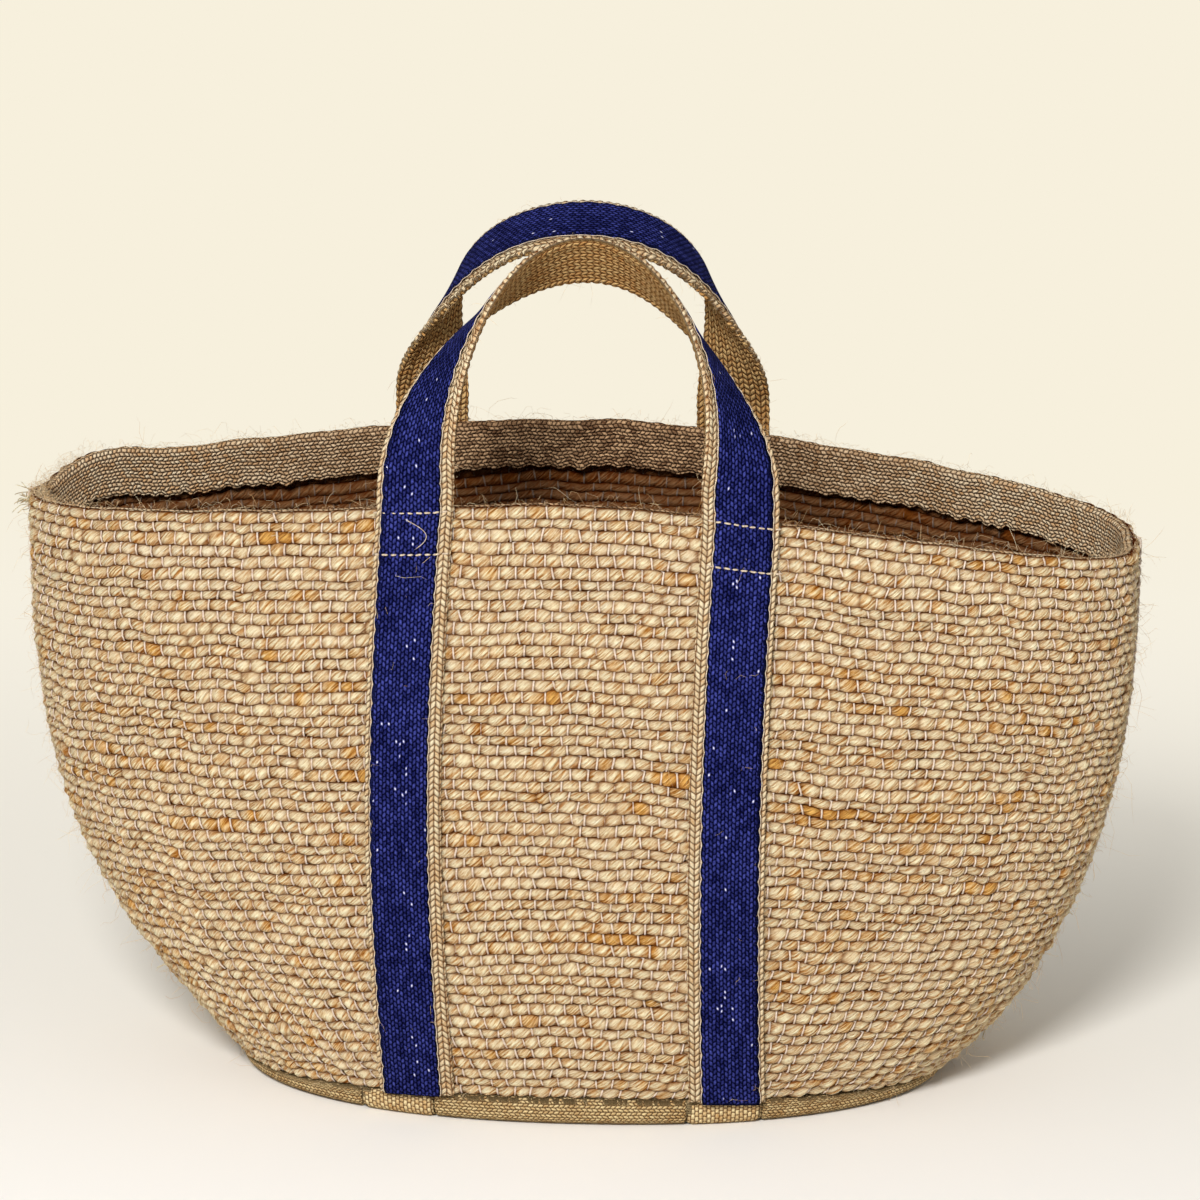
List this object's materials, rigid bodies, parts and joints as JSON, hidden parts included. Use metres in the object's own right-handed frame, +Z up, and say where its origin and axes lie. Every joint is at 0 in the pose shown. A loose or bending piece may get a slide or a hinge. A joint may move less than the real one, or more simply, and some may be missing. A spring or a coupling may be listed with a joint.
{
  "type": "shopping basket",
  "caption": "Soft jute shopping basket with a wide oval mouth, a narrow oval base and looped webbing handles that carry a blue stripe down each side.",
  "frame": {"origin": "on the floor under the middle of the basket's mouth", "axes": "+X along the mouth, -Y towards the front that the picture shows, +Z up"},
  "size_m": [0.582, 0.2258, 0.4632],
  "materials": {
    "jute_yarn": "coarse",
    "jute_tape": "fuzzy",
    "natural_webbing": "woven",
    "blue_tape": "woven"
  },
  "bodies": {
    "basket": {"front_panel": "jute_yarn", "rear_panel": "jute_yarn", "rim_facing": "jute_tape", "base_tray": "jute_tape", "base_sling_left": "natural_webbing", "base_sling_right": "natural_webbing", "front_left_webbing": "natural_webbing", "front_left_stripe": "blue_tape", "front_right_webbing": "natural_webbing", "front_right_stripe": "blue_tape", "rear_left_webbing": "natural_webbing", "rear_left_stripe": "blue_tape", "rear_right_webbing": "natural_webbing", "rear_right_stripe": "blue_tape"},
    "front_handle": {"front_handle_webbing": "natural_webbing", "front_handle_stripe": "blue_tape"},
    "rear_handle": {"rear_handle_webbing": "natural_webbing", "rear_handle_stripe": "blue_tape"}
  },
  "joints": [
    {"name": "front_handle_fold", "type": "hinge", "parent": "basket", "child": "front_handle", "pos_m": [0.0035, -0.09755, 0.32857], "axis": [0.9999, -0.0004, -0.0167], "range_deg": [-14, 160]},
    {"name": "rear_handle_fold", "type": "hinge", "parent": "basket", "child": "rear_handle", "pos_m": [-0.00552, 0.09751, 0.32886], "axis": [-1, -0.0031, 0.0084], "range_deg": [-14, 160]}
  ]
}
